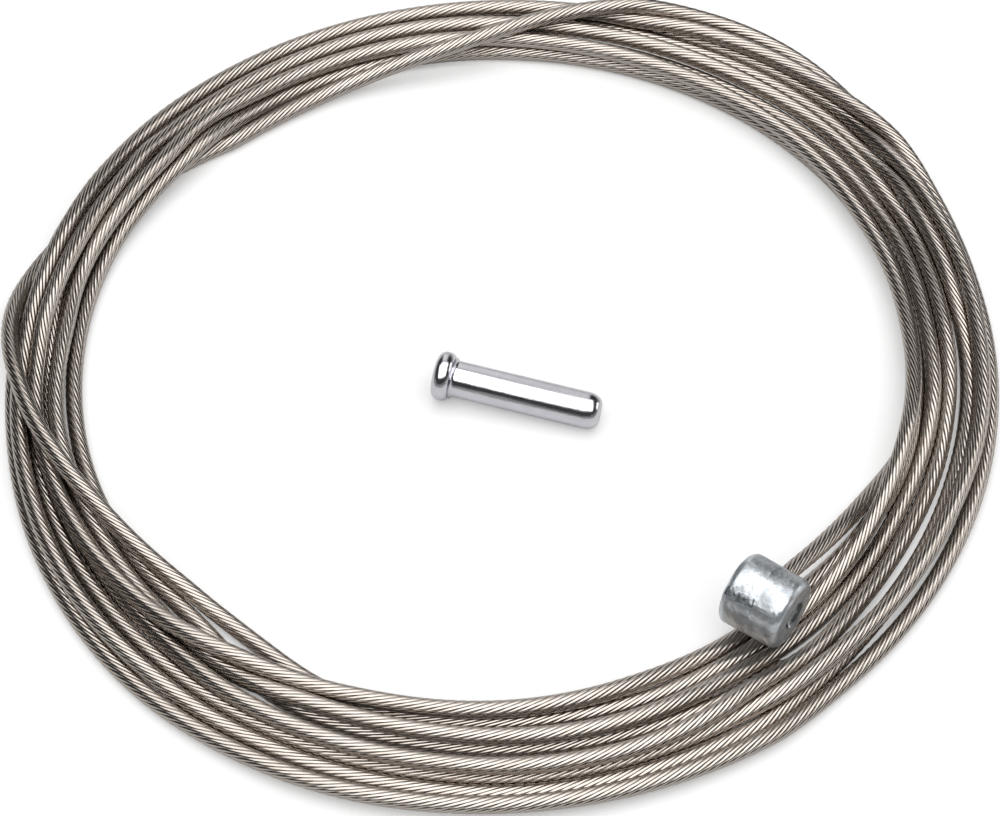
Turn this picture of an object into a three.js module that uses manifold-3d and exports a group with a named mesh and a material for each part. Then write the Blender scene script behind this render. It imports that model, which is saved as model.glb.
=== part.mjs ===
import * as THREE from 'three';
import { mergeVertices } from 'three/addons/utils/BufferGeometryUtils.js';
import Module from 'manifold-3d';

// Bicycle brake cable as it is sold: the stranded inner wire in a loose coil of nearly eight turns,
// the cast barrel nipple on its one end, and the loose end cap that lies inside the coil.
// Millimetres, Z up. The coil lies on Z = 0 with the middle of its outline at X = Y = 0.

// Driving dimensions
const WIRE = 1.5;
const NIPPLE_DIAMETER = 6.5;
const NIPPLE_LENGTH = 5.7;
const NIPPLE_EDGE = 0.7;
const CAP_LENGTH = 15.4;
const CAP_DIAMETER = 3.35;
const CAP_FLANGE_DIAMETER = 4.5;
const CAP_FLANGE_LENGTH = 1.7;
const CAP_BORE = 2.1;
const CAP_BORE_DEPTH = 12;
const FIT = 0.3;

// The coil. Each row is a point of the wire's middle, counted on from the nipple to the free end:
// clock angle in degrees, radius in mm for a wire of ROW_WIRE, and height above the table in wires.
// The radius is the one that EYE sees on the level of the lowest turns, so a raised point is brought
// back by its height. The last row is the free end, which lies tucked between two turns.
const ROW_WIRE = 1.56;
const EYE = [0.24, -171.6, 222.7];
const ROWS = [
  [-51.25, 35.45, 3.05], [-46, 34.55, 2.9], [-42, 35.1, 2.35], [-35, 35.8, 1.5], [-30, 36.35, 0.9],
  [-25, 37.1, 0.35], [-20, 38, 0.1], [-10, 39.9, 0], [0, 41.8, 0], [10, 43.6, 0], [20, 45.3, 0],
  [30, 47, 0], [38, 48.5, 0], [45, 49.65, 0], [52, 50.6, 0], [60, 51, 0.4], [65, 50.75, 0.9],
  [70, 50.1, 1.4], [75, 49.3, 1.8], [80, 47.9, 1.95], [85, 45.9, 2], [90, 44.25, 2], [95, 42.9, 1.95],
  [100, 41.7, 1.6], [105, 40.85, 1], [110, 39.95, 0.5], [115, 39.5, 0.1], [120, 39.2, 0],
  [127, 39.2, 0], [135, 39.9, 0], [140, 40.65, 0], [145, 41.8, 0], [150, 43.2, 0], [155, 44.6, 0],
  [160, 45.6, 0], [166, 46.5, 0], [171, 46.9, 0.4], [176, 46.8, 1.2], [181, 46.1, 2], [186, 45, 2.1],
  [190, 44.1, 2.1], [195, 42.6, 2.1], [200, 41.2, 2], [205, 39.9, 1.6], [210, 39, 1.2], [215, 38.2, 1],
  [220, 37.6, 0.8], [225, 37.3, 0.3], [230, 37.25, 0], [235, 37.4, 0], [240, 37.9, 0], [244, 38.45, 0],
  [250, 38.9, 0], [256, 39.1, 0], [262, 39.1, 0], [270, 39, 0], [280, 38.8, 0], [290, 38.65, 0],
  [300, 38.6, 0], [310, 38.5, 0], [317, 38.4, 0], [326, 38.4, 0.7], [333, 38.5, 1.2], [340, 38.7, 1.6],
  [350, 39.2, 1.9], [360, 39.55, 1.5], [368, 39.8, 1.1], [375, 40.2, 0.95], [390, 40.9, 1],
  [400, 41.6, 1], [420, 42.4, 1], [440, 43, 1], [460, 43.4, 0.95], [480, 43.15, 0.9], [498, 42.8, 1.1],
  [506, 42.65, 1.9], [514, 42.5, 1.8], [525, 42.2, 1], [540, 41.85, 0.9], [550, 41.8, 0.9],
  [560, 41.3, 0.6], [567, 41.1, 0.3], [575, 40.9, 0.1], [583, 40.8, 0.6], [590, 40.65, 1.05],
  [600, 40.3, 1], [610, 40.2, 1], [620, 40.25, 1], [630, 40.3, 1], [642, 40.35, 1], [652, 40.3, 0.8],
  [660, 40.15, 0.3], [668, 40.05, 0], [675, 40.1, 0], [690, 40.15, 0], [700, 40.35, 0.2],
  [710, 40.9, 0.9], [720, 41.2, 1], [730, 41.7, 0.9], [740, 42.3, 0.3], [760, 43, 0], [780, 43, 0],
  [810, 43, 0], [840, 43.05, 0], [853, 42.9, 0.5], [860, 42.8, 1], [868, 42.8, 1.1], [876, 43.1, 0.9],
  [884, 43.4, 0.4], [890, 43.8, 0], [900, 44.1, 0], [920, 44.05, 0], [940, 44.1, 0], [960, 44.3, 0],
  [980, 44.55, 0], [1000, 44.5, 0], [1015, 44.2, 0.2], [1030, 43.9, 0.7], [1045, 44.15, 0.95],
  [1060, 44.8, 1], [1070, 45.6, 1], [1080, 46.05, 1.2], [1095, 46.8, 1.1], [1105, 47.3, 1.05],
  [1112, 47.55, 0.8], [1122, 47.65, 0], [1140, 47.5, 0], [1160, 47.2, 0], [1180, 47, 0],
  [1200, 46.9, 0], [1218, 46.5, 0.1], [1228, 46.2, 0.7], [1236, 46, 1.1], [1245, 45.8, 1.1],
  [1253, 45.6, 0.6], [1262, 45.55, 0.1], [1270, 45.7, 0], [1285, 46.3, 0], [1300, 47, 0],
  [1320, 47.5, 0.2], [1330, 47.5, 0.5], [1350, 47.05, 0.5], [1370, 46.55, 0.3], [1390, 46.2, 0],
  [1410, 46.2, 0], [1430, 46.45, 0], [1440, 46.7, 0.1], [1450, 46.9, 0], [1460, 47.5, 0],
  [1470, 48.4, 0.2], [1478, 49.1, 0.9], [1484, 49.35, 1], [1492, 49.3, 0.9], [1505, 48.9, 0.95],
  [1520, 48, 0.95], [1540, 47.5, 0.95], [1560, 47, 0.95], [1580, 46.3, 1], [1592, 45.9, 1.5],
  [1600, 45.5, 1.9], [1610, 45.35, 1.2], [1620, 45.25, 1], [1635, 45.3, 1], [1650, 45.5, 0.95],
  [1660, 45.7, 0.8], [1672, 45.8, 0.3], [1685, 45.9, 0], [1710, 45.9, 0], [1725, 45.6, 0],
  [1735, 45.3, 0], [1745, 45, 0], [1755, 44.3, 0], [1765, 43.95, 0], [1780, 44, 0], [1793, 44.4, 0],
  [1800, 44.65, 0.1], [1810, 45, 0.8], [1817, 45.3, 1], [1826, 45.6, 0.9], [1836, 46, 0.2],
  [1850, 46.4, 0], [1875, 46, 0], [1890, 45.6, 0], [1920, 45.1, 0], [1938, 44.9, 0.4], [1946, 44.7, 1],
  [1956, 44.3, 1.1], [1968, 43.6, 1.1], [1976, 42.9, 0.8], [1984, 42.5, 0.2], [1995, 42.45, 0],
  [2015, 42.45, 0], [2027, 42.5, 0.5], [2036, 42.8, 1], [2050, 43.1, 1], [2070, 43.3, 1],
  [2085, 43.2, 1], [2095, 42.8, 1], [2105, 42.4, 0.95], [2112, 42.2, 0.8], [2120, 41.8, 0.3],
  [2130, 41.75, 0], [2145, 42.2, 0.1], [2155, 42.55, 0.7], [2160, 42.75, 0.9], [2166, 42.95, 1],
  [2174, 43.5, 0.9], [2185, 44.4, 0.5], [2200, 44.95, 0.4], [2220, 45.2, 0.9], [2240, 45.3, 0.95],
  [2260, 45.5, 0.95], [2280, 45.1, 0.95], [2296, 44.6, 1.1], [2304, 44.4, 1.6], [2312, 44.2, 1.95],
  [2322, 43.95, 2.05], [2330, 43.85, 1.9], [2340, 43.75, 1.1], [2350, 43.6, 1], [2360, 42.95, 1],
  [2370, 42.35, 1], [2380, 41.5, 1], [2390, 40.65, 1.05], [2400, 39.7, 1.05], [2406, 38.8, 1],
  [2412, 38.2, 1], [2420, 37.9, 1], [2430, 37.55, 1], [2442, 37.2, 0.9], [2450, 37.1, 0.5],
  [2458, 37.05, 0.1], [2465, 37.05, 0], [2480, 37.6, 0], [2490, 38.2, 0.5], [2500, 38.9, 1.1],
  [2510, 39.5, 1.1], [2520, 40.1, 0.6], [2530, 40.5, 0], [2540, 40.8, 0], [2560, 41.1, 0],
  [2580, 41.3, 0], [2610, 41.4, 0], [2640, 41.35, 0], [2650, 41.2, 0.4], [2660, 41, 1],
  [2670, 40.85, 0.7], [2680, 40.6, 0], [2700, 40.1, 0], [2720, 39.8, 0], [2735, 39.3, 0],
  [2743, 38.9, 0], [2748, 39.1, 0], [2754, 40, 0], [2760, 41.1, 0], [2767, 41.5, 0], [2775, 41.5, 0],
  [2790, 41.6, 0], [2808, 41.6, 0], [2830, 41.6, 0],
];

// How the turns settle: points round the clock, rounds of pushing, the last of them without easing,
// and the least distance between two turns in wires.
const POINTS_PER_TURN = 96;
const SETTLE_ROUNDS = 150;
const LAST_ROUNDS = 60;
const SPACING = 1.0385;
const RADIUS_EASE = 0.06;
const RADIUS_HOLD = 0.05;
const HEIGHT_EASE = 0.1;
const HEIGHT_HOLD = 0.03;
const TUBE_SIDES = 8;
const TUBE_STEPS_PER_TURN = 48;

// A smooth run through the rows: no value goes past the rows on either side of it.
function slopes(x, y) {
  const last = x.length - 1;
  const rise = [];
  for (let i = 0; i < last; i++) rise.push((y[i + 1] - y[i]) / (x[i + 1] - x[i]));
  const slope = [rise[0]];
  for (let i = 1; i < last; i++) {
    const before = x[i] - x[i - 1];
    const after = x[i + 1] - x[i];
    const far = 2 * after + before;
    const near = after + 2 * before;
    const turns = rise[i - 1] * rise[i] <= 0;
    slope.push(turns ? 0 : (far + near) / (far / rise[i - 1] + near / rise[i]));
  }
  slope.push(rise[last - 1]);
  return slope;
}

function between(x, y, slope, at) {
  let i = 0;
  while (i < x.length - 2 && x[i + 1] <= at) i++;
  const span = x[i + 1] - x[i];
  const t = (at - x[i]) / span;
  const rest = 1 - t;
  return y[i] * rest * rest * (1 + 2 * t) + slope[i] * span * t * rest * rest
    + y[i + 1] * t * t * (3 - 2 * t) - slope[i + 1] * span * t * t * rest;
}

const scale = WIRE / ROW_WIRE;
const clocks = ROWS.map((row) => row[0]);
const rowRadii = ROWS.map((row) => row[1] * scale);
const rowHeights = ROWS.map((row) => row[2] * WIRE);
const radiusSlopes = slopes(clocks, rowRadii);
const heightSlopes = slopes(clocks, rowHeights);
const clockStep = 360 / POINTS_PER_TURN;
const lastStep = Math.floor((clocks[clocks.length - 1] - clocks[0]) / clockStep);
const angle = [];
const radius = [];
const height = [];
for (let k = 0; k <= lastStep; k++) {
  const at = clocks[0] + k * clockStep;
  const theta = THREE.MathUtils.degToRad(at);
  const lift = Math.max(between(clocks, rowHeights, heightSlopes, at), 0);
  const seen = between(clocks, rowRadii, radiusSlopes, at);
  const eye = EYE[0] * Math.cos(theta) + EYE[1] * Math.sin(theta);
  angle.push(theta);
  radius.push(seen + lift / EYE[2] * (eye - seen));
  height.push(lift + WIRE / 2);
}

// The turns settle: wherever two of them come nearer than a wire they push each other apart, and
// between the pushes each eases along its own length and back towards its rows.
const count = radius.length;
const wanted = WIRE * SPACING;
const rowRadius = radius.slice();
const rowHeight = height.slice();
for (let round = 0; round < SETTLE_ROUNDS; round++) {
  for (let slot = 0; slot < POINTS_PER_TURN; slot++) {
    for (let a = slot; a < count; a += POINTS_PER_TURN) {
      for (let b = a + POINTS_PER_TURN; b < count; b += POINTS_PER_TURN) {
        const out = radius[b] - radius[a];
        const up = height[b] - height[a];
        const apart = Math.hypot(out, up);
        if (apart < wanted) {
          const push = 0.5 * (wanted - apart) / Math.max(apart, 1e-9);
          radius[a] -= push * out;
          height[a] -= push * up;
          radius[b] += push * out;
          height[b] += push * up;
        }
      }
    }
  }
  for (let i = 0; i < count; i++) height[i] = Math.max(height[i], WIRE / 2);
  if (round < SETTLE_ROUNDS - LAST_ROUNDS) {
    const radiusNow = radius.slice();
    const heightNow = height.slice();
    for (let i = 1; i < count - 1; i++) {
      const radiusMiddle = (radiusNow[i - 1] + radiusNow[i + 1]) / 2;
      const heightMiddle = (heightNow[i - 1] + heightNow[i + 1]) / 2;
      radius[i] += RADIUS_EASE * (radiusMiddle - radiusNow[i]) + RADIUS_HOLD * (rowRadius[i] - radiusNow[i]);
      height[i] += HEIGHT_EASE * (heightMiddle - heightNow[i]) + HEIGHT_HOLD * (rowHeight[i] - heightNow[i]);
    }
    for (let i = 0; i < count; i++) height[i] = Math.max(height[i], WIRE / 2);
  }
}

// The middle of the coil's outline goes to X = Y = 0.
const centreline = angle.map((theta, i) => new THREE.Vector3(
  radius[i] * Math.cos(theta), radius[i] * Math.sin(theta), height[i]));
const outline = new THREE.Box3().setFromPoints(centreline);
const middle = outline.getCenter(new THREE.Vector3()).setZ(0);
for (const point of centreline) point.sub(middle);

const object = new THREE.Group();

function piece(name, geometry, material) {
  const mesh = new THREE.Mesh(geometry, material);
  mesh.name = name;
  object.add(mesh);
  return mesh;
}

// The inner wire: one closed tube along the whole route.
const stainless = new THREE.MeshStandardMaterial({ color: 0xa89f95, roughness: 0.32, metalness: 1 });
const route = new THREE.CatmullRomCurve3(centreline);
route.arcLengthDivisions = 8 * count;
const tubeSteps = Math.round((count - 1) * TUBE_STEPS_PER_TURN / POINTS_PER_TURN);
const section = new THREE.Shape();
for (let side = 0; side < TUBE_SIDES; side++) {
  const turn = 2 * Math.PI * (side + 0.5) / TUBE_SIDES;
  const x = WIRE / 2 * Math.cos(turn);
  const y = WIRE / 2 * Math.sin(turn);
  if (side === 0) section.moveTo(x, y);
  else section.lineTo(x, y);
}
section.closePath();
const tube = new THREE.ExtrudeGeometry(section, {
  steps: tubeSteps,
  bevelEnabled: false,
  extrudePath: route,
});
piece('wire', tube, stainless);

const wasm = await Module();
wasm.setup();

function solid(geometry) {
  const plain = geometry.clone();
  plain.deleteAttribute('normal');
  plain.deleteAttribute('uv');
  const merged = mergeVertices(plain, 1e-5);
  return new wasm.Manifold(new wasm.Mesh({
    numProp: 3,
    vertProperties: new Float32Array(merged.attributes.position.array),
    triVerts: new Uint32Array(merged.index.array),
  }));
}

function shape(manifold) {
  const mesh = manifold.getMesh();
  const geometry = new THREE.BufferGeometry();
  geometry.setAttribute('position', new THREE.BufferAttribute(new Float32Array(mesh.vertProperties), 3));
  geometry.setIndex(new THREE.BufferAttribute(new Uint32Array(mesh.triVerts), 1));
  geometry.computeVertexNormals();
  return geometry;
}

// The barrel nipple, cast on the wire's first end and lying across the inner turns. Its axis is level
// and square to the wire. The wire runs to its middle in a blind bore, and the outer end face has a
// shallow round hollow where the casting was fed.
const NIPPLE_SIDES = 48;
const EDGE_STEPS = 4;
const HOLLOW_DIAMETER = 2.7;
const HOLLOW_DEPTH = 0.35;
const zinc = new THREE.MeshStandardMaterial({ color: 0x9da4a9, roughness: 0.42, metalness: 0.85 });
const wireEnd = centreline[0];
const leaving = route.getPointAt(NIPPLE_DIAMETER / 2 / route.getLength()).sub(wireEnd).normalize();
const up = new THREE.Vector3(0, 0, 1);
const barrelAxis = new THREE.Vector3().crossVectors(leaving, up).normalize();

const barrelRadius = NIPPLE_DIAMETER / 2;
const barrelProfile = [new THREE.Vector2(0, -NIPPLE_LENGTH / 2)];
for (const end of [-1, 1]) {
  for (let step = 0; step <= EDGE_STEPS; step++) {
    const turn = Math.PI / 2 * (end < 0 ? step : EDGE_STEPS - step) / EDGE_STEPS;
    barrelProfile.push(new THREE.Vector2(
      barrelRadius - NIPPLE_EDGE + NIPPLE_EDGE * Math.sin(turn),
      end * (NIPPLE_LENGTH / 2 - NIPPLE_EDGE + NIPPLE_EDGE * Math.cos(turn))));
  }
}
barrelProfile.push(new THREE.Vector2(0, NIPPLE_LENGTH / 2));
const barrel = new THREE.LatheGeometry(barrelProfile, NIPPLE_SIDES);
const alongAxis = new THREE.Quaternion().setFromUnitVectors(new THREE.Vector3(0, 1, 0), barrelAxis);
barrel.applyQuaternion(alongAxis);

const boreLength = NIPPLE_DIAMETER + FIT;
const bore = new THREE.CylinderGeometry(WIRE / 2 + FIT, WIRE / 2 + FIT, boreLength, 24);
bore.translate(0, boreLength / 2 - FIT, 0);
bore.applyQuaternion(new THREE.Quaternion().setFromUnitVectors(new THREE.Vector3(0, 1, 0), leaving));

const hollow = new THREE.SphereGeometry(1, 20, 12);
hollow.scale(HOLLOW_DIAMETER / 2, HOLLOW_DEPTH, HOLLOW_DIAMETER / 2);
hollow.applyQuaternion(alongAxis);
hollow.translate(...barrelAxis.clone().multiplyScalar(NIPPLE_LENGTH / 2).toArray());

const nipple = piece('nipple', shape(solid(barrel).subtract(solid(bore)).subtract(solid(hollow))), zinc);
nipple.position.copy(wireEnd);

// The end cap, a drawn aluminium sleeve with a rolled flange at its mouth and a closed, domed tip.
// It lies on the table on its flange and its tip, so its axis falls a little towards the tip.
const CAP_AZIMUTH = -15;
const CAP_FLANGE_AT = [-4.8, -1.85];
const CAP_DOME = 1.3;
const CAP_TIP_FLAT = 0.8;
const CAP_FILLET = 0.4;
const CAP_FLANGE_ROUND = 0.75;
const CAP_MOUTH_BEVEL = 0.2;
const CAP_SIDES = 40;
const ROUND_STEPS = 6;
const aluminium = new THREE.MeshStandardMaterial({ color: 0xd5d4da, roughness: 0.16, metalness: 1 });
const capRadius = CAP_DIAMETER / 2;
const flangeRadius = CAP_FLANGE_DIAMETER / 2;
const flangeHalf = CAP_FLANGE_LENGTH / 2;
const boreRadius = CAP_BORE / 2;
const capProfile = [
  new THREE.Vector2(0, CAP_BORE_DEPTH),
  new THREE.Vector2(boreRadius, CAP_BORE_DEPTH - boreRadius / 2),
  new THREE.Vector2(boreRadius, CAP_MOUTH_BEVEL),
  new THREE.Vector2(boreRadius + CAP_MOUTH_BEVEL, 0),
];
for (let step = 0; step <= 2 * ROUND_STEPS; step++) {
  const turn = Math.PI * step / (2 * ROUND_STEPS) - Math.PI / 2;
  capProfile.push(new THREE.Vector2(
    flangeRadius - CAP_FLANGE_ROUND + CAP_FLANGE_ROUND * Math.cos(turn),
    flangeHalf + flangeHalf * Math.sin(turn)));
}
capProfile.push(new THREE.Vector2(capRadius + CAP_FILLET, CAP_FLANGE_LENGTH));
capProfile.push(new THREE.Vector2(capRadius + CAP_FILLET * 0.3, CAP_FLANGE_LENGTH + CAP_FILLET * 0.3));
capProfile.push(new THREE.Vector2(capRadius, CAP_FLANGE_LENGTH + CAP_FILLET));
for (let step = 0; step < ROUND_STEPS; step++) {
  const turn = Math.PI / 2 * step / ROUND_STEPS;
  capProfile.push(new THREE.Vector2(
    CAP_TIP_FLAT + (capRadius - CAP_TIP_FLAT) * Math.cos(turn),
    CAP_LENGTH - CAP_DOME + CAP_DOME * Math.sin(turn)));
}
capProfile.push(new THREE.Vector2(CAP_TIP_FLAT, CAP_LENGTH));
capProfile.push(new THREE.Vector2(0, CAP_LENGTH));
const sleeve = new THREE.LatheGeometry(capProfile, CAP_SIDES);
const fall = Math.asin((flangeRadius - capRadius) / (CAP_LENGTH - CAP_DOME - flangeHalf));
const azimuth = THREE.MathUtils.degToRad(CAP_AZIMUTH);
const pointing = new THREE.Vector3(
  Math.cos(fall) * Math.cos(azimuth), Math.cos(fall) * Math.sin(azimuth), -Math.sin(fall));
sleeve.translate(0, -flangeHalf, 0);
sleeve.applyQuaternion(new THREE.Quaternion().setFromUnitVectors(new THREE.Vector3(0, 1, 0), pointing));
sleeve.computeBoundingBox();
const cap = piece('end_cap', shape(solid(sleeve)), aluminium);
cap.position.set(CAP_FLANGE_AT[0] - middle.x, CAP_FLANGE_AT[1] - middle.y, -sleeve.boundingBox.min.z);

export default object;
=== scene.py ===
import math

import bpy
import numpy as np
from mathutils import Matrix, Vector


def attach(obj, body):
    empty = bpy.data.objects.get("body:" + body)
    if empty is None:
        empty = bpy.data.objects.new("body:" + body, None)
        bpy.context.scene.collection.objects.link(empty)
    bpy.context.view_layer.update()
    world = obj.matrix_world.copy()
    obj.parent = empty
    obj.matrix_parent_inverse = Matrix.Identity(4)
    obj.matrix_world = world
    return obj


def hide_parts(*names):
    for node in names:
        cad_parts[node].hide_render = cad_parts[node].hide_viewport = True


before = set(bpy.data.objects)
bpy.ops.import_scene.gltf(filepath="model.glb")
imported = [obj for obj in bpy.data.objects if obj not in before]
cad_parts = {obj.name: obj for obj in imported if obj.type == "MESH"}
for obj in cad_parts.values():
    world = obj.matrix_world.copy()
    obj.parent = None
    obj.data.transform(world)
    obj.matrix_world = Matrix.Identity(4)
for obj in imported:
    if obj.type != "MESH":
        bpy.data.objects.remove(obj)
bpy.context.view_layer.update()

# The camera looks down at the coil from in front, at the photograph's viewing angle. Sizes and places
# are in millimetres where no comment says otherwise, and MM turns them into the frame's metres.
MM = 0.001
CAMERA_AIM = (0.093, -3.607, 0)
CAMERA_DISTANCE = 278.85
CAMERA_FALL = math.radians(53)
LENS_WIDTHS = 3.075
camera_lens = bpy.data.cameras.new("camera")
camera_lens.sensor_fit = "HORIZONTAL"
camera_lens.lens = LENS_WIDTHS * camera_lens.sensor_width
camera_lens.clip_start = 10 * MM
camera = bpy.data.objects.new("camera", camera_lens)
bpy.context.scene.collection.objects.link(camera)
bpy.context.scene.camera = camera
camera_back = Vector((0, -math.cos(CAMERA_FALL), math.sin(CAMERA_FALL)))
camera.location = (Vector(CAMERA_AIM) + camera_back * CAMERA_DISTANCE) * MM
camera.rotation_euler = camera_back.to_track_quat("Z", "Y").to_euler()


# The inner wire. A strand of stainless wires, one core with six round it and twelve outside, drawn
# and laid left-handed, then wound by hand into a loose coil of nearly eight turns. One end is cast
# into the nipple, and the other is fused to a smooth tip and tucked between two turns.
WIRE = 1.5
# Rows from the nipple to the free end: clock angle in degrees, radius in mm for a wire of ROW_WIRE,
# and height above the table in wires. The radius is the one that EYE sees on the level of the lowest
# turns, so a raised point is brought back by its height.
ROW_WIRE = 1.56
EYE = (0.24, -171.6, 222.7)
ROWS = [
    [-51.25, 35.45, 3.05], [-46, 34.55, 2.9], [-42, 35.1, 2.35], [-35, 35.8, 1.5], [-30, 36.35, 0.9],
    [-25, 37.1, 0.35], [-20, 38, 0.1], [-10, 39.9, 0], [0, 41.8, 0], [10, 43.6, 0], [20, 45.3, 0],
    [30, 47, 0], [38, 48.5, 0], [45, 49.65, 0], [52, 50.6, 0], [60, 51, 0.4], [65, 50.75, 0.9],
    [70, 50.1, 1.4], [75, 49.3, 1.8], [80, 47.9, 1.95], [85, 45.9, 2], [90, 44.25, 2], [95, 42.9, 1.95],
    [100, 41.7, 1.6], [105, 40.85, 1], [110, 39.95, 0.5], [115, 39.5, 0.1], [120, 39.2, 0],
    [127, 39.2, 0], [135, 39.9, 0], [140, 40.65, 0], [145, 41.8, 0], [150, 43.2, 0], [155, 44.6, 0],
    [160, 45.6, 0], [166, 46.5, 0], [171, 46.9, 0.4], [176, 46.8, 1.2], [181, 46.1, 2], [186, 45, 2.1],
    [190, 44.1, 2.1], [195, 42.6, 2.1], [200, 41.2, 2], [205, 39.9, 1.6], [210, 39, 1.2],
    [215, 38.2, 1], [220, 37.6, 0.8], [225, 37.3, 0.3], [230, 37.25, 0], [235, 37.4, 0], [240, 37.9, 0],
    [244, 38.45, 0], [250, 38.9, 0], [256, 39.1, 0], [262, 39.1, 0], [270, 39, 0], [280, 38.8, 0],
    [290, 38.65, 0], [300, 38.6, 0], [310, 38.5, 0], [317, 38.4, 0], [326, 38.4, 0.7], [333, 38.5, 1.2],
    [340, 38.7, 1.6], [350, 39.2, 1.9], [360, 39.55, 1.5], [368, 39.8, 1.1], [375, 40.2, 0.95],
    [390, 40.9, 1], [400, 41.6, 1], [420, 42.4, 1], [440, 43, 1], [460, 43.4, 0.95], [480, 43.15, 0.9],
    [498, 42.8, 1.1], [506, 42.65, 1.9], [514, 42.5, 1.8], [525, 42.2, 1], [540, 41.85, 0.9],
    [550, 41.8, 0.9], [560, 41.3, 0.6], [567, 41.1, 0.3], [575, 40.9, 0.1], [583, 40.8, 0.6],
    [590, 40.65, 1.05], [600, 40.3, 1], [610, 40.2, 1], [620, 40.25, 1], [630, 40.3, 1],
    [642, 40.35, 1], [652, 40.3, 0.8], [660, 40.15, 0.3], [668, 40.05, 0], [675, 40.1, 0],
    [690, 40.15, 0], [700, 40.35, 0.2], [710, 40.9, 0.9], [720, 41.2, 1], [730, 41.7, 0.9],
    [740, 42.3, 0.3], [760, 43, 0], [780, 43, 0], [810, 43, 0], [840, 43.05, 0], [853, 42.9, 0.5],
    [860, 42.8, 1], [868, 42.8, 1.1], [876, 43.1, 0.9], [884, 43.4, 0.4], [890, 43.8, 0],
    [900, 44.1, 0], [920, 44.05, 0], [940, 44.1, 0], [960, 44.3, 0], [980, 44.55, 0], [1000, 44.5, 0],
    [1015, 44.2, 0.2], [1030, 43.9, 0.7], [1045, 44.15, 0.95], [1060, 44.8, 1], [1070, 45.6, 1],
    [1080, 46.05, 1.2], [1095, 46.8, 1.1], [1105, 47.3, 1.05], [1112, 47.55, 0.8], [1122, 47.65, 0],
    [1140, 47.5, 0], [1160, 47.2, 0], [1180, 47, 0], [1200, 46.9, 0], [1218, 46.5, 0.1],
    [1228, 46.2, 0.7], [1236, 46, 1.1], [1245, 45.8, 1.1], [1253, 45.6, 0.6], [1262, 45.55, 0.1],
    [1270, 45.7, 0], [1285, 46.3, 0], [1300, 47, 0], [1320, 47.5, 0.2], [1330, 47.5, 0.5],
    [1350, 47.05, 0.5], [1370, 46.55, 0.3], [1390, 46.2, 0], [1410, 46.2, 0], [1430, 46.45, 0],
    [1440, 46.7, 0.1], [1450, 46.9, 0], [1460, 47.5, 0], [1470, 48.4, 0.2], [1478, 49.1, 0.9],
    [1484, 49.35, 1], [1492, 49.3, 0.9], [1505, 48.9, 0.95], [1520, 48, 0.95], [1540, 47.5, 0.95],
    [1560, 47, 0.95], [1580, 46.3, 1], [1592, 45.9, 1.5], [1600, 45.5, 1.9], [1610, 45.35, 1.2],
    [1620, 45.25, 1], [1635, 45.3, 1], [1650, 45.5, 0.95], [1660, 45.7, 0.8], [1672, 45.8, 0.3],
    [1685, 45.9, 0], [1710, 45.9, 0], [1725, 45.6, 0], [1735, 45.3, 0], [1745, 45, 0], [1755, 44.3, 0],
    [1765, 43.95, 0], [1780, 44, 0], [1793, 44.4, 0], [1800, 44.65, 0.1], [1810, 45, 0.8],
    [1817, 45.3, 1], [1826, 45.6, 0.9], [1836, 46, 0.2], [1850, 46.4, 0], [1875, 46, 0],
    [1890, 45.6, 0], [1920, 45.1, 0], [1938, 44.9, 0.4], [1946, 44.7, 1], [1956, 44.3, 1.1],
    [1968, 43.6, 1.1], [1976, 42.9, 0.8], [1984, 42.5, 0.2], [1995, 42.45, 0], [2015, 42.45, 0],
    [2027, 42.5, 0.5], [2036, 42.8, 1], [2050, 43.1, 1], [2070, 43.3, 1], [2085, 43.2, 1],
    [2095, 42.8, 1], [2105, 42.4, 0.95], [2112, 42.2, 0.8], [2120, 41.8, 0.3], [2130, 41.75, 0],
    [2145, 42.2, 0.1], [2155, 42.55, 0.7], [2160, 42.75, 0.9], [2166, 42.95, 1], [2174, 43.5, 0.9],
    [2185, 44.4, 0.5], [2200, 44.95, 0.4], [2220, 45.2, 0.9], [2240, 45.3, 0.95], [2260, 45.5, 0.95],
    [2280, 45.1, 0.95], [2296, 44.6, 1.1], [2304, 44.4, 1.6], [2312, 44.2, 1.95], [2322, 43.95, 2.05],
    [2330, 43.85, 1.9], [2340, 43.75, 1.1], [2350, 43.6, 1], [2360, 42.95, 1], [2370, 42.35, 1],
    [2380, 41.5, 1], [2390, 40.65, 1.05], [2400, 39.7, 1.05], [2406, 38.8, 1], [2412, 38.2, 1],
    [2420, 37.9, 1], [2430, 37.55, 1], [2442, 37.2, 0.9], [2450, 37.1, 0.5], [2458, 37.05, 0.1],
    [2465, 37.05, 0], [2480, 37.6, 0], [2490, 38.2, 0.5], [2500, 38.9, 1.1], [2510, 39.5, 1.1],
    [2520, 40.1, 0.6], [2530, 40.5, 0], [2540, 40.8, 0], [2560, 41.1, 0], [2580, 41.3, 0],
    [2610, 41.4, 0], [2640, 41.35, 0], [2650, 41.2, 0.4], [2660, 41, 1], [2670, 40.85, 0.7],
    [2680, 40.6, 0], [2700, 40.1, 0], [2720, 39.8, 0], [2735, 39.3, 0], [2743, 38.9, 0],
    [2748, 39.1, 0], [2754, 40, 0], [2760, 41.1, 0], [2767, 41.5, 0], [2775, 41.5, 0], [2790, 41.6, 0],
    [2808, 41.6, 0], [2830, 41.6, 0],
]
# The turns settle against each other until they lie SPACING wires apart. In all but the last rounds
# they are also eased along their length and held near their rows.
POINTS_PER_TURN = 96
SETTLE_ROUNDS = 150
LAST_ROUNDS = 60
SPACING = 1.0385
RADIUS_EASE, RADIUS_HOLD = 0.06, 0.05
HEIGHT_EASE, HEIGHT_HOLD = 0.1, 0.03


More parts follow.
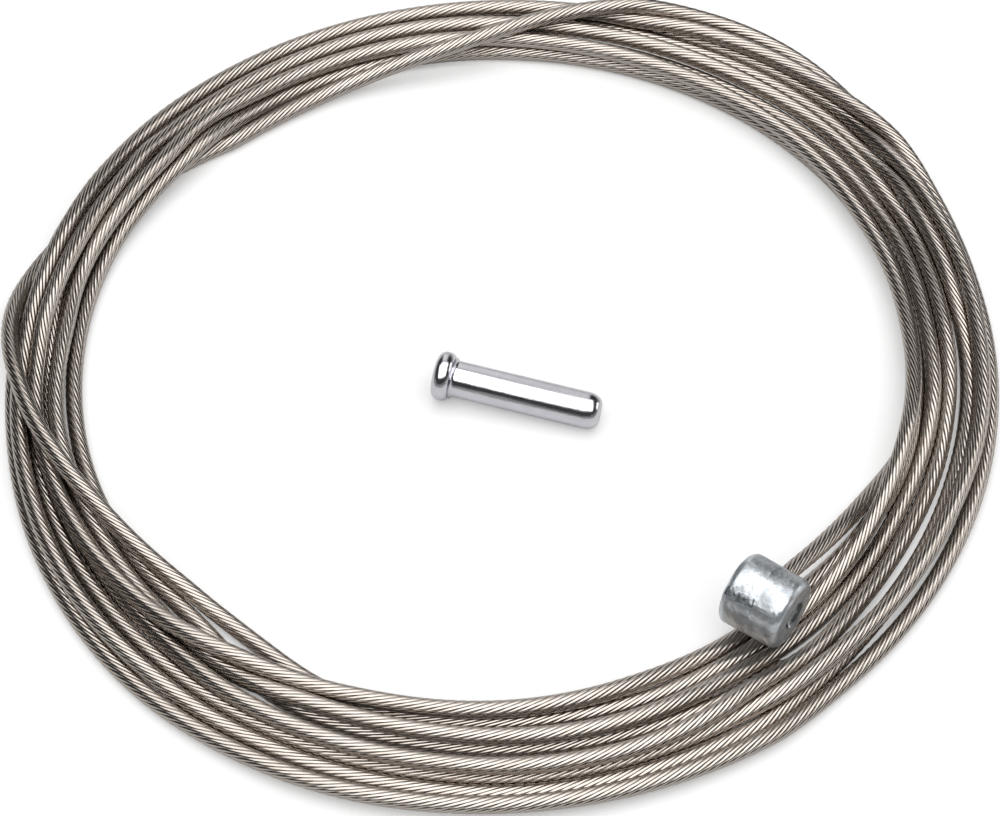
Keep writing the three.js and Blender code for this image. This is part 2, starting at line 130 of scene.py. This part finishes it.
def smooth_run(x, y, at):
    """y through the rows at each value of at, never past the rows on either side."""
    rise = np.diff(y) / np.diff(x)
    before, after = np.diff(x)[:-1], np.diff(x)[1:]
    far, near = 2 * after + before, after + 2 * before
    with np.errstate(divide="ignore", invalid="ignore"):
        mean = (far + near) / (far / rise[:-1] + near / rise[1:])
    slope = np.concatenate([rise[:1], np.where(rise[:-1] * rise[1:] <= 0, 0, mean), rise[-1:]])
    i = np.clip(np.searchsorted(x, at, side="right") - 1, 0, len(x) - 2)
    span = x[i + 1] - x[i]
    t = (at - x[i]) / span
    rest = 1 - t
    return (
        y[i] * rest * rest * (1 + 2 * t)
        + slope[i] * span * t * rest * rest
        + y[i + 1] * t * t * (3 - 2 * t)
        - slope[i + 1] * span * t * t * rest
    )


def eased(now, rows, ease, hold):
    """One easing round: each point goes towards its neighbours' middle and back to its row."""
    moved = now.copy()
    middle = (now[:-2] + now[2:]) / 2
    moved[1:-1] += ease * (middle - now[1:-1]) + hold * (rows[1:-1] - now[1:-1])
    return moved


rows = np.array(ROWS)
clock_step = 360 / POINTS_PER_TURN
clocks = np.arange(rows[0, 0], rows[-1, 0] + clock_step / 2, clock_step)
theta = np.radians(clocks)
lift = np.maximum(smooth_run(rows[:, 0], rows[:, 2] * WIRE, clocks), 0)
seen = smooth_run(rows[:, 0], rows[:, 1] * WIRE / ROW_WIRE, clocks)
row_radius = seen + lift / EYE[2] * (EYE[0] * np.cos(theta) + EYE[1] * np.sin(theta) - seen)
row_height = lift + WIRE / 2
radius, height = row_radius.copy(), row_height.copy()
slots = [range(slot, len(clocks), POINTS_PER_TURN) for slot in range(POINTS_PER_TURN)]
kept_apart = WIRE * SPACING
for settle_round in range(SETTLE_ROUNDS):
    for passes in slots:
        for first in range(len(passes)):
            for second in range(first + 1, len(passes)):
                a, b = passes[first], passes[second]
                out, up = radius[b] - radius[a], height[b] - height[a]
                apart = math.hypot(out, up)
                if apart < kept_apart:
                    push = 0.5 * (kept_apart - apart) / max(apart, 1e-9)
                    radius[a] -= push * out
                    height[a] -= push * up
                    radius[b] += push * out
                    height[b] += push * up
    height = np.maximum(height, WIRE / 2)
    if settle_round < SETTLE_ROUNDS - LAST_ROUNDS:
        radius = eased(radius, row_radius, RADIUS_EASE, RADIUS_HOLD)
        height = np.maximum(eased(height, row_height, HEIGHT_EASE, HEIGHT_HOLD), WIRE / 2)
settled = np.stack([radius * np.cos(theta), radius * np.sin(theta), height], axis=1)
coil_middle = np.array([*(settled.min(0) + settled.max(0))[:2] / 2, 0])
settled -= coil_middle

# The strand's surface: rings of four points to each outer wire, turned along the lay, so that the
# edges of the mesh run along the wires. Its crests are as wide as the turns lie apart.
LAY = 11.5
OUTER_WIRES = 12
GROOVE_DEPTH = 0.052
POINTS_PER_WIRE = 4
RING_STEP = 1.025
CURVE_STEPS = 16
TIP_LENGTH = 1.4
TIP_TAPER = 0.9


def along_curve(points, spacing):
    """Points at an even spacing on the smooth curve through the given ones."""
    before = np.concatenate([[2 * points[0] - points[1]], points[:-1]])
    after = np.concatenate([points[1:], [2 * points[-1] - points[-2]]])
    slope = (after - before) / 2
    t = np.linspace(0, 1, CURVE_STEPS, endpoint=False)[:, None, None]
    rest = 1 - t
    p, q, m, n = points[:-1], points[1:], slope[:-1], slope[1:]
    fine = p * rest**2 * (1 + 2 * t) + m * t * rest**2 + q * t**2 * (3 - 2 * t) - n * t**2 * rest
    fine = np.concatenate([fine.transpose(1, 0, 2).reshape(-1, 3), points[-1:]])
    length = np.concatenate([[0], np.cumsum(np.linalg.norm(np.diff(fine, axis=0), axis=1))])
    at = np.linspace(0, length[-1], round(length[-1] / spacing) + 1)
    return np.stack([np.interp(at, length, fine[:, axis]) for axis in range(3)], axis=1), at


def carried_frames(points):
    """A side and an up direction at each point that turn with the curve and never twist about it."""
    ahead = np.gradient(points, axis=0)
    ahead /= np.linalg.norm(ahead, axis=1)[:, None]
    side = np.cross([0, 0, 1], ahead[0])
    sides = []
    for direction in ahead:
        side = side - direction * side.dot(direction)
        side /= np.linalg.norm(side)
        sides.append(side)
    sides = np.array(sides)
    return sides, np.cross(ahead, sides)


middle_line, run = along_curve(settled, RING_STEP)
side, top = carried_frames(middle_line)
ring_points = OUTER_WIRES * POINTS_PER_WIRE
crest_radius = kept_apart / 2
point_number = np.arange(ring_points)
from_crest = np.abs(point_number % POINTS_PER_WIRE / (POINTS_PER_WIRE / 2) - 1)
lobed = crest_radius - GROOVE_DEPTH * (1 - np.sqrt(1 - from_crest**2))
tip = np.clip((run - (run[-1] - TIP_LENGTH)) / TIP_LENGTH, 0, 1)[:, None]
fused = lobed + (crest_radius - GROOVE_DEPTH / 2 - lobed) * tip
ring_radius = fused * np.sqrt(1 - TIP_TAPER * tip**2)
turn = (2 * math.pi * point_number / ring_points)[None, :] - (2 * math.pi * run / LAY)[:, None]
strand_points = middle_line[:, None, :] + ring_radius[:, :, None] * (
    np.cos(turn)[:, :, None] * side[:, None, :] + np.sin(turn)[:, :, None] * top[:, None, :]
)


def tube_faces(rings, sides):
    """Quads between rings of points that turn with the axis, and a disc at each end."""
    here = np.arange(rings - 1)[:, None] * sides + np.arange(sides)[None, :]
    beside = np.arange(rings - 1)[:, None] * sides + (np.arange(sides)[None, :] + 1) % sides
    faces = np.stack([here, beside, beside + sides, here + sides], axis=-1).reshape(-1, 4).tolist()
    return [*faces, list(range(sides))[::-1], list(range((rings - 1) * sides, rings * sides))]


def made_piece(name, points, faces, smooth=True):
    """A mesh object from points in millimetres."""
    mesh = bpy.data.meshes.new(name)
    mesh.from_pydata((np.asarray(points) * MM).tolist(), [], faces)
    mesh.polygons.foreach_set("use_smooth", [smooth] * len(mesh.polygons))
    mesh.update()
    made = bpy.data.objects.new(name, mesh)
    bpy.context.scene.collection.objects.link(made)
    return made


def noted(piece, name, values):
    """A number at each point of the mesh, which a material can read."""
    piece.data.attributes.new(name, "FLOAT", "POINT").data.foreach_set("value", np.ravel(values))


ring_count = len(middle_line)
strand = made_piece("strand", strand_points.reshape(-1, 3), tube_faces(ring_count, ring_points))
creases = strand.data.attributes.new("sharp_edge", "BOOLEAN", "EDGE")
edge_ends = np.zeros(len(strand.data.edges) * 2, dtype=int)
strand.data.edges.foreach_get("vertices", edge_ends)
edge_ends = edge_ends.reshape(-1, 2)
in_valley = (edge_ends % ring_points % POINTS_PER_WIRE == 0).all(axis=1)
creases.data.foreach_set("value", in_valley)
noted(strand, "groove", np.tile(from_crest, ring_count))
noted(strand, "run", np.repeat(run, ring_points))
noted(strand, "outer_wire", np.tile(point_number // POINTS_PER_WIRE, ring_count))


class Field:
    """A shader socket that reads as a value in a sum."""

    def __init__(self, finish, socket):
        self.finish = finish
        self.socket = socket

    def math(self, operation, first, second):
        return self.finish.node("ShaderNodeMath", {"operation": operation}, {0: first, 1: second})

    def __add__(self, other):
        return self.math("ADD", self, other)

    def __radd__(self, other):
        return self.math("ADD", other, self)

    def __sub__(self, other):
        return self.math("SUBTRACT", self, other)

    def __rsub__(self, other):
        return self.math("SUBTRACT", other, self)

    def __mul__(self, other):
        return self.math("MULTIPLY", self, other)

    def __rmul__(self, other):
        return self.math("MULTIPLY", other, self)

    def __pow__(self, other):
        return self.math("POWER", self, other)


class Finish:
    """The nodes of a material or of the world, and the one way to make them."""

    def __init__(self, owner, shader="Principled BSDF"):
        owner.use_nodes = True
        self.owner = owner
        self.tree = owner.node_tree
        self.shader = self.tree.nodes[shader]

    def put(self, node, sockets):
        for key, value in sockets.items():
            if isinstance(value, Field):
                self.tree.links.new(value.socket, node.inputs[key])
            else:
                node.inputs[key].default_value = value

    def node(self, kind, settings=None, sockets=None, output=0):
        made = self.tree.nodes.new(kind)
        for key, value in (settings or {}).items():
            if key == "stops":
                while len(made.color_ramp.elements) < len(value):
                    made.color_ramp.elements.new(0.5)
                for element, (position, shade) in zip(made.color_ramp.elements, value):
                    element.position = position
                    element.color = (shade, shade, shade, 1)
            else:
                setattr(made, key, value)
        self.put(made, sockets or {})
        return Field(self, made.outputs[output])

    def blend(self, mask, first, second):
        """A colour between two others."""
        return self.node(
            "ShaderNodeMix",
            {"data_type": "RGBA"},
            {0: mask, 6: first if isinstance(first, Field) else (*first, 1),
             7: second if isinstance(second, Field) else (*second, 1)},
            output=2,
        )

    def layered(self, colour, *layers):
        """A colour with other shades laid over it, each through its own mask."""
        for mask, shade in layers:
            colour = self.blend(mask, colour, shade)
        return colour

    def noise(self, place, scale, detail):
        sockets = {"Vector": place, "Scale": scale, "Detail": detail}
        return self.node("ShaderNodeTexNoise", sockets=sockets)

    def ramp(self, value, *stops):
        return self.node("ShaderNodeValToRGB", {"stops": stops}, {0: value})

    def mark(self, name):
        """The number noted at each point of the mesh."""
        return self.node("ShaderNodeAttribute", {"attribute_name": name}, output=2)

    def bump(self, height, strength, depth):
        sockets = {"Strength": strength, "Distance": depth * MM, "Height": height}
        return self.node("ShaderNodeBump", sockets=sockets)

    def surface(self, **sockets):
        self.put(self.shader, {key.replace("_", " "): value for key, value in sockets.items()})


DRAWN_STEEL = (0.57, 0.54, 0.51)
WARM_STEEL = (0.45, 0.385, 0.33)
# Painted shade: the valleys between the outer wires are coloured near black, for the light that the
# neighbouring wires keep out.
PAINTED_GROOVE_SHADE = (0.045, 0.025, 0.015)
steel = Finish(bpy.data.materials.new("stranded stainless"))
groove_depth = steel.mark("groove")
run_along = steel.mark("run")
wire_number = steel.mark("outer_wire")


def drawn_out(along, across):
    """A place for noise that is stretched along each outer wire and new on the next."""
    return steel.node("ShaderNodeCombineXYZ", sockets={0: run_along * along, 1: wire_number * across})


tone = steel.noise(drawn_out(0.22, 3.7), 1.0, 3.0)
streaks = steel.noise(drawn_out(1.6, 5.1), 1.0, 2.0)
crest_colour = steel.blend(tone, DRAWN_STEEL, WARM_STEEL)
# The base colour darkens towards each valley between the wires as painted shade.
steel.surface(
    Metallic=1.0,
    Base_Color=steel.blend(groove_depth ** 5.0 * 0.8, crest_colour, PAINTED_GROOVE_SHADE),
    Roughness=0.1 + streaks * 0.12 + groove_depth * 0.08,
)
strand.data.materials.append(steel.owner)
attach(strand, "root")
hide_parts("wire")


# The barrel nipple. Zinc, die-cast on the wire's end in a two-part mould, so it has a line round its
# middle where the halves met, a rough scar along one side where the feed was snapped off, and a
# hollow in its outer end. It lies across the inner turns with its axis level and square to the wire.
NIPPLE_DIAMETER = 6.5
NIPPLE_LENGTH = 5.7
NIPPLE_EDGE = 0.7
# Marks on the round wall fade in over WALL_FADE, from WALL_FROM inside its radius.
WALL_FROM, WALL_FADE = 0.25, 0.2
FACE_DEPTH = 0.05
HALF_STEP = 0.03
LINE_WANDER, LINE_WIDTH, LINE_PROUD = 0.16, 0.08, 0.02
SCAR_ANGLE = 0.76
SCAR_AT = -1.35
SCAR_LENGTH = 2.9
SCAR_WIDTH = 0.85
SCAR_PROUD, SCAR_TORN, SCAR_UNEVEN, SCAR_EDGE = 0.07, 0.035, 0.1, 3.5
PIT_DEPTH, PITS_FROM, PITS_RARE = 0.1, 1, 1.1
SWELL, ORANGE_PEEL, FACE_DENTS = 0.016, 0.006, 0.02
HOLLOW_DIAMETER = 2.7
HOLLOW_DEPTH = 0.33
HOLLOW_UNEVEN, FLOOR_UNEVEN = 0.12, 0.13
DARK_SPOT_AT, DARK_SPOT_SIZE = (-0.75, 0.45), 0.28
NIPPLE_POINTS = 288
NIPPLE_STEP = 0.075
# A turned form ends in a disc of this radius, too small to see.
POLE = 0.02


def profile_run(corners, spacing):
    """Even points along a turned profile, given as (distance along the axis, radius)."""
    corners = np.array(corners)
    lengths = np.linalg.norm(np.diff(corners, axis=0), axis=1)
    points = [corners[:1]]
    for start, end, length in zip(corners[:-1], corners[1:], lengths):
        count = max(1, round(length / spacing))
        points.append(start + (end - start) * (np.arange(1, count + 1) / count)[:, None])
    return np.concatenate(points)


def quarter(centre_along, centre_radius, size, start, end, count=9):
    """Points of a rounded edge, from one angle to another, in degrees from the axis."""
    turn = np.radians(np.linspace(start, end, count))
    return [(centre_along + size * math.cos(t), centre_radius + size * math.sin(t)) for t in turn]


def turned(profile, count):
    """At each point of a turned form, its distance along the axis and from it, and its angle."""
    along = np.repeat(profile[:, :1], count, axis=1)
    around = np.repeat(profile[:, 1:], count, axis=1)
    turn = np.tile(np.linspace(0, 2 * math.pi, count, endpoint=False), (len(profile), 1))
    return along, around, turn


def placed(origin, axis, first, along, radius, turn):
    """Points about an axis, turned from the first direction."""
    axis, first = np.asarray(axis), np.asarray(first)
    second = np.cross(axis, first)
    return (
        origin
        + along[..., None] * axis
        + radius[..., None] * (np.cos(turn)[..., None] * first + np.sin(turn)[..., None] * second)
    )


def rough(seed, *coordinates, waves=24, scale=1.0):
    """A soft uneven value between about -1 and 1 that has no repeat."""
    dice = np.random.default_rng(seed)
    total = 0
    for wave in range(waves):
        direction = dice.normal(size=len(coordinates)) * scale
        phase = sum(d * c for d, c in zip(direction, coordinates)) + dice.uniform(0, 6.283)
        total = total + np.sin(phase)
    return total / math.sqrt(waves / 2) / 1.6


cord_exit = middle_line[np.searchsorted(run, NIPPLE_DIAMETER / 2)]
leaving = cord_exit - middle_line[0]
leaving /= np.linalg.norm(leaving)
barrel_axis = np.cross(leaving, [0, 0, 1])
barrel_axis /= np.linalg.norm(barrel_axis)
half, barrel_radius = NIPPLE_LENGTH / 2, NIPPLE_DIAMETER / 2
profile = profile_run(
    [(-half, POLE)]
    + quarter(-half + NIPPLE_EDGE, barrel_radius - NIPPLE_EDGE, NIPPLE_EDGE, 180, 90)
    + quarter(half - NIPPLE_EDGE, barrel_radius - NIPPLE_EDGE, NIPPLE_EDGE, 90, 0)
    + [(half, POLE)],
    NIPPLE_STEP,
)
along, around, turn = turned(profile, NIPPLE_POINTS)
across = around * np.cos(turn)
beside = around * np.sin(turn)
on_wall = np.clip((around - (barrel_radius - WALL_FROM)) / WALL_FADE, 0, 1)
line_at = LINE_WANDER * rough(3, across, beside, scale=0.7)
line_strength = np.clip(0.6 + 0.6 * rough(5, turn * 3, scale=1.3), 0, 1)
parting = np.exp(-(((along - line_at) / LINE_WIDTH) ** 2)) * line_strength
torn = rough(11, along * 1.4, turn * barrel_radius, scale=5.0)
scar_turn = (turn - SCAR_ANGLE) * barrel_radius + SCAR_UNEVEN * rough(7, along, scale=3.5)
scar_edge = 1 - (scar_turn / SCAR_WIDTH * 2) ** 2
scar_along = 1 - ((along - SCAR_AT) / (SCAR_LENGTH / 2 + SCAR_UNEVEN * torn)) ** 4
scar = np.clip(np.minimum(scar_edge, scar_along) * SCAR_EDGE, 0, 1) * on_wall
# The sloping edges of the raised scar, which are painted darker as shade.
scar_edge_shade = scar * (1 - scar) * 4
pocked = rough(13, along, across, beside, waves=48, scale=3.0) * (beside > PITS_FROM)
pits = np.clip(pocked - PITS_RARE, 0, 1)
swell = rough(17, along, across, beside, scale=0.9)
orange = rough(19, along, across, beside, waves=48, scale=7.0)
grow = (
    -HALF_STEP * (along > line_at) * on_wall
    + LINE_PROUD * parting * on_wall
    + scar * (SCAR_PROUD + SCAR_TORN * torn)
    - PIT_DEPTH * pits * on_wall
    + (SWELL * swell + ORANGE_PEEL * orange) * on_wall
)
outer_face = along > half - FACE_DEPTH
rim = HOLLOW_DIAMETER / 2 + HOLLOW_UNEVEN * rough(21, np.cos(turn), np.sin(turn), scale=2.0)
inside = 1 - (around / rim) ** 2
floor_rough = rough(23, across, beside, waves=32, scale=4.5)
in_hollow = np.clip(inside * 2.5, 0, 1) * outer_face
sink = in_hollow * (HOLLOW_DEPTH + FLOOR_UNEVEN * floor_rough)
dents = FACE_DENTS * rough(29, across, beside, along, scale=2.4) * (1 - on_wall)
barrel_points = placed(middle_line[0], barrel_axis, (0, 0, 1), along - sink + dents, around + grow, turn)
barrel_faces = tube_faces(len(profile), NIPPLE_POINTS)
nipple = made_piece("barrel_nipple", barrel_points.reshape(-1, 3), barrel_faces)
# The scar is coloured darker, unevenly along its torn strip, and darkest on its sloping edges, where the
# colour is painted shade.
noted(nipple, "scar", np.clip(0.9 * scar_edge_shade + scar * (0.5 + 0.4 * torn), 0, 1))
# Painted shade in the hollow: its floor is darkened unevenly, and a crescent under its far rim is
# painted as that rim's shadow. A round dark spot on its floor is added as well.
far_rim_shadow = np.exp(-(((inside - 0.12) / 0.25) ** 2)) * np.clip(0.5 - beside / 1.3, 0.15, 1)
from_spot = np.hypot(across - DARK_SPOT_AT[0], beside - DARK_SPOT_AT[1])
dark_spot = np.exp(-((from_spot / DARK_SPOT_SIZE) ** 2))
hollow_shade_and_spot = np.clip(0.35 - 0.6 * floor_rough, 0, 0.6) * in_hollow + far_rim_shadow + dark_spot
noted(nipple, "hollow", np.clip(hollow_shade_and_spot, 0, 1) * outer_face)
noted(nipple, "parting", parting * on_wall)

GREY_ZINC = (0.56, 0.60, 0.635)
PALE_ZINC = (0.74, 0.77, 0.79)
DARK_ZINC = (0.19, 0.215, 0.24)
TARNISH = (0.30, 0.23, 0.16)
SCAR_TONE_AND_EDGE_SHADE = (0.06, 0.07, 0.085)
PAINTED_HOLLOW_SHADE = (0.05, 0.052, 0.055)
zinc = Finish(bpy.data.materials.new("cast zinc"))
here = zinc.node("ShaderNodeTexCoord", output=3)
clouds = zinc.noise(here, 520.0, 4.0)
patches = zinc.ramp(zinc.noise(here, 620.0, 6.0), (0.45, 0.0), (0.62, 1.0))
specks = zinc.ramp(zinc.noise(here, 1900.0, 3.0), (0.6, 0.0), (0.72, 1.0))
grain = zinc.noise(here, 2600.0, 2.0)
zinc.surface(
    Metallic=0.92,
    Base_Color=zinc.layered(
        zinc.blend(clouds, PALE_ZINC, GREY_ZINC),
        (patches * 0.5, DARK_ZINC),
        (specks * 0.45, TARNISH),
        # The scar's layer darkens its strip and paints shade on its sloping edges.
        (zinc.mark("scar") * 0.95, SCAR_TONE_AND_EDGE_SHADE),
        # The hollow's layer is painted shade, with the dark spot on its floor.
        (zinc.mark("hollow") * 0.9, PAINTED_HOLLOW_SHADE),
        (zinc.mark("parting") * 0.3, DARK_ZINC),
    ),
    Roughness=0.22 + clouds * 0.2 + patches * 0.12,
    Normal=zinc.bump(grain + clouds * 2.0 - patches * 0.25, strength=0.55, depth=0.06),
)
nipple.data.materials.append(zinc.owner)
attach(nipple, "root")
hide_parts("nipple")


# The end cap. Drawn from thin aluminium, with a rolled flange round its mouth and a closed tip that
# the die left slightly pinched. It is crimped on the wire's free end only once the cable is fitted,
# so here it lies loose on its flange and its tip.
CAP_LENGTH = 15.4
CAP_DIAMETER = 3.35
CAP_FLANGE_DIAMETER = 4.5
CAP_FLANGE_LENGTH = 1.7
CAP_BORE = 2.1
CAP_BORE_DEPTH = 12
CAP_BORE_LIT = 2.0
CAP_FLANGE_ROUND = 0.78
CAP_LIP = 0.3
CAP_NECK = 0.33
CAP_DOME = 1.3
CAP_FLAT = 0.8
PINCH_WIDTH, PINCH_REACH, PINCH_LENGTH, PINCH_DEPTH = 0.13, 0.62, 0.6, 0.22
DRAW_MARKS = 0.006
CAP_AZIMUTH = -15
CAP_FLANGE_AT = (-4.8, -1.85)
CAP_POINTS = 192
CAP_STEP = 0.09

flange_half = CAP_FLANGE_LENGTH / 2
cap_radius, flange_radius, bore_radius = CAP_DIAMETER / 2, CAP_FLANGE_DIAMETER / 2, CAP_BORE / 2
flange_edge = flange_radius - CAP_FLANGE_ROUND
bore_end = [
    (CAP_BORE_DEPTH, POLE),
    (CAP_BORE_DEPTH - 0.5, bore_radius - 0.1),
    (CAP_BORE_DEPTH - 0.8, bore_radius),
]
dome = [
    (CAP_LENGTH - CAP_DOME + CAP_DOME * math.sin(t), CAP_FLAT + (cap_radius - CAP_FLAT) * math.cos(t))
    for t in np.radians(np.linspace(0, 90, 15))
]
cap_profile = profile_run(
    bore_end
    + quarter(CAP_LIP, bore_radius + CAP_LIP, CAP_LIP, 270, 180, 6)
    + quarter(CAP_FLANGE_ROUND, flange_edge, CAP_FLANGE_ROUND, 180, 90)
    + quarter(CAP_FLANGE_LENGTH - CAP_FLANGE_ROUND, flange_edge, CAP_FLANGE_ROUND, 90, 15)
    + quarter(CAP_FLANGE_LENGTH + CAP_NECK, cap_radius + CAP_LIP, CAP_LIP, 190, 270, 6)
    + dome
    + [(CAP_LENGTH, POLE)],
    CAP_STEP,
)
cap_along, cap_around, cap_turn = turned(cap_profile, CAP_POINTS)
fall = math.asin((flange_radius - cap_radius) / (CAP_LENGTH - CAP_DOME - flange_half))
azimuth = math.radians(CAP_AZIMUTH)
cap_axis = np.array(
    [math.cos(fall) * math.cos(azimuth), math.cos(fall) * math.sin(azimuth), -math.sin(fall)]
)
cap_up = np.array([0, 0, 1]) - cap_axis * cap_axis[2]
cap_up /= np.linalg.norm(cap_up)
outer = np.arange(len(cap_profile))[:, None] > np.argmin(cap_profile[:, 0])
cap_x, cap_y = cap_around * np.cos(cap_turn), cap_around * np.sin(cap_turn)
pinch = np.exp(-((cap_y / PINCH_WIDTH) ** 2)) * np.clip(1 - (cap_x / PINCH_REACH) ** 4, 0, 1)
pinch = pinch * outer * (cap_along > CAP_LENGTH - PINCH_LENGTH)
draw = DRAW_MARKS * rough(31, cap_turn * 3, cap_along * 0.08, scale=3.0) * outer
pinched = cap_along - flange_half - PINCH_DEPTH * pinch
cap_points = placed(np.zeros(3), cap_axis, cap_up, pinched, cap_around + draw, cap_turn)
cap_points[..., 2] -= cap_points[..., 2].min()
cap_points[..., 0] += CAP_FLANGE_AT[0] - coil_middle[0]
cap_points[..., 1] += CAP_FLANGE_AT[1] - coil_middle[1]
end_cap = made_piece("crimp_cap", cap_points.reshape(-1, 3), tube_faces(len(cap_profile), CAP_POINTS))
# Painted shade: the pinched crease at the tip is coloured darker.
noted(end_cap, "pinch", pinch)
# Painted shade: the bore is coloured darker from its mouth inwards, fully dark CAP_BORE_LIT in.
noted(end_cap, "bore", np.where(outer, 0.0, np.clip(cap_along / CAP_BORE_LIT, 0, 1)))

BRIGHT_ALUMINIUM = (0.76, 0.755, 0.80)
DULL_ALUMINIUM = (0.64, 0.635, 0.68)
PAINTED_BORE_SHADE = (0.12, 0.12, 0.13)
PAINTED_PINCH_SHADE = (0.3, 0.3, 0.33)
aluminium = Finish(bpy.data.materials.new("drawn aluminium"))
place = aluminium.node("ShaderNodeTexCoord", output=3)
bloom = aluminium.noise(place, 700.0, 4.0)
aluminium.surface(
    Metallic=1.0,
    Base_Color=aluminium.layered(
        aluminium.blend(bloom, BRIGHT_ALUMINIUM, DULL_ALUMINIUM),
        # The bore's layer is painted shade inside the cap.
        (aluminium.mark("bore") * 0.8, PAINTED_BORE_SHADE),
        # The pinch's layer is painted shade in the crease.
        (aluminium.mark("pinch") * 0.5, PAINTED_PINCH_SHADE),
    ),
    Roughness=0.13 + bloom * 0.1,
    Normal=aluminium.bump(aluminium.noise(place, 5200.0, 2.0), strength=0.35, depth=0.02),
)
end_cap.data.materials.append(aluminium.owner)
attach(end_cap, "root")
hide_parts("end_cap")


# The table. A plain sheet just under the pieces that takes their soft shadows. A little glow, seen
# only by the camera, brings it up to white there and lights nothing.
TABLE_SIZE = 4000
TABLE_BELOW = 0.02
TABLE_GREY = (0.7, 0.7, 0.7, 1)
TABLE_GLOW = 0.3
table = made_piece(
    "table",
    np.array([(-1, -1, 0), (1, -1, 0), (1, 1, 0), (-1, 1, 0)]) * TABLE_SIZE / 2,
    [(0, 1, 2, 3)],
    smooth=False,
)
table.location.z = -TABLE_BELOW * MM
paper = Finish(bpy.data.materials.new("white table"))
in_view = sum(
    paper.node("ShaderNodeLightPath", output=ray)
    for ray in ("Is Camera Ray", "Is Transmission Ray")
)
paper.surface(
    Base_Color=TABLE_GREY,
    Roughness=0.9,
    Emission_Color=in_view,
    Emission_Strength=TABLE_GLOW,
)
table.data.materials.append(paper.owner)


# The light. A wide soft panel overhead, a small low one to the right, and a studio with a pale back
# wall. Its front and sides are dark above a pale strip at the table, which draws the metal's bands.
FRONT_STOPS = [(0.0, 0.35), (0.18, 0.35), (0.26, 0.02), (0.7, 0.02), (0.78, 0.4)]
BACK_STOPS = [(0.0, 0.8), (0.3, 0.9), (0.6, 0.9), (0.8, 0.6)]
SIDE_STOPS = [(0.0, 0.3), (0.12, 0.3), (0.22, 0.03), (0.9, 0.03)]
# Each panel's middle and size in metres, and how bright its face is.
PANELS = {
    "panel_above": ((0, -0.1, 0.6), (1.0, 0.9), 2.1),
    "panel_right": ((0.8, 0.15, 0.22), (0.5, 0.3), 1.6),
}
studio = Finish(bpy.data.worlds.new("studio"), "Background")
bpy.context.scene.world = studio.owner
direction = studio.node("ShaderNodeTexCoord", output="Generated")
to_right, to_back, upward = (
    studio.node("ShaderNodeSeparateXYZ", sockets={0: direction}, output=axis) for axis in "XYZ"
)
front, back, sides = (studio.ramp(upward, *stops) for stops in (FRONT_STOPS, BACK_STOPS, SIDE_STOPS))
ends = studio.blend(studio.ramp(to_back, (0.0, 0.0), (0.35, 1.0)), front, back)
sideways = studio.ramp(to_right * to_right, (0.01, 0.0), (0.1, 1.0))
studio.surface(Color=studio.blend(sideways, ends, sides))
for name, (middle, size, level) in PANELS.items():
    light = bpy.data.lights.new(name, "AREA")
    light.shape = "RECTANGLE"
    light.size, light.size_y = size
    light.energy = level * math.pi * size[0] * size[1]
    lamp = bpy.data.objects.new(name, light)
    bpy.context.scene.collection.objects.link(lamp)
    lamp.location = middle
    lamp.rotation_euler = Vector(middle).to_track_quat("Z", "Y").to_euler()
    lamp.visible_camera = False

bpy.context.scene.view_settings.view_transform = "Standard"
